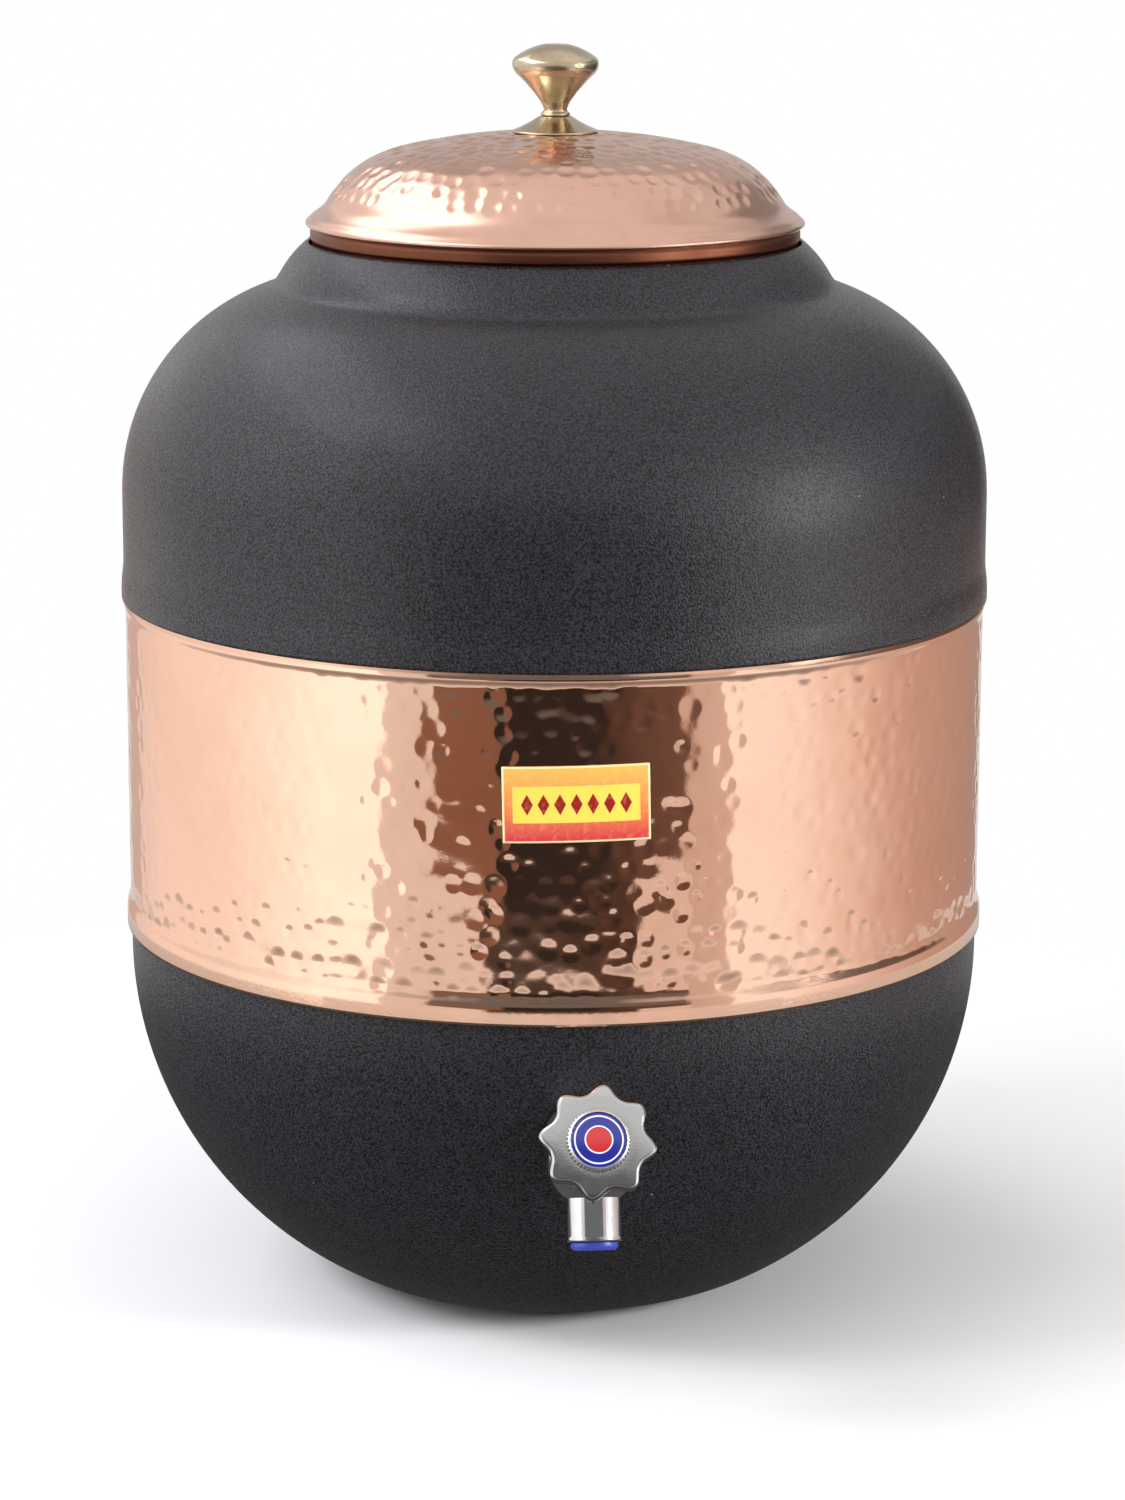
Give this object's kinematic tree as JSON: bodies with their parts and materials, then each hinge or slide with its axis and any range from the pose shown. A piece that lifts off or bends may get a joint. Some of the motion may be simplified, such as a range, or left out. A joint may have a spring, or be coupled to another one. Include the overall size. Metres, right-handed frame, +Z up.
{
  "type": "water pot with tap",
  "caption": "Free-standing copper water pot: bowl-shaped base, hammered band, domed shoulder, lift-off lid with a turned knob, and a screw-down tap low on the front.",
  "frame": {"origin": "centre of the flat foot, on the surface that the pot stands on", "axes": "+Z up along the pot's axis, -Y out of the front, where the tap is"},
  "size_m": [0.2158, 0.2509, 0.3088],
  "materials": {
    "black_paint": "matte, fine grain",
    "polished_copper": "polished and hammered copper",
    "dull_copper": "satin copper",
    "brass": "polished, turned",
    "raw_brass": "as machined",
    "chrome": "polished chrome plate",
    "blue_plastic": "glossy",
    "rubber": "matte",
    "steel": "zinc plated",
    "solder": "dull tin",
    "packing": "matte",
    "label": "printed film"
  },
  "bodies": {
    "pot": {"upper_shell": "black_paint", "hammered_band": "polished_copper", "base_shell": "black_paint", "upper_seam_solder": "solder", "lower_seam_solder": "solder", "front_label": "label", "outer_gasket": "rubber", "inner_gasket": "rubber", "shank_washer": "steel", "shank_nut": "raw_brass", "tap_body": "chrome", "spout_nozzle": "blue_plastic", "tap_bonnet": "chrome", "gland_packing": "packing", "gland_nut": "chrome"},
    "lid": {"lid_cover": "dull_copper", "lid_skirt": "dull_copper", "lid_knob": "brass", "knob_flange": "brass", "knob_washer": "steel", "knob_screw": "steel"},
    "valve": {"valve_jumper": "raw_brass", "valve_washer": "rubber", "jumper_nut": "raw_brass"},
    "handle": {"tap_spindle": "raw_brass", "handwheel": "chrome", "handwheel_screw": "steel", "index_ring": "chrome", "index_disc": "blue_plastic"}
  },
  "joints": [
    {"name": "lid_lift", "type": "slide", "parent": "pot", "child": "lid", "axis": [0, 0, 1], "range_m": [0, 0.04]},
    {"name": "valve_lift", "type": "slide", "parent": "pot", "child": "valve", "axis": [0, -0.866, 0.5], "range_m": [0, 0.00187]},
    {"name": "wheel_turn", "type": "hinge", "parent": "valve", "child": "handle", "pos_m": [0, -0.12043, 0.06307], "axis": [0, -0.866, 0.5], "range_deg": [0, 450]}
  ],
  "couplings": [
    {"joint": "valve_lift", "follows": "wheel_turn", "m_per_rad": 0.0002387}
  ]
}
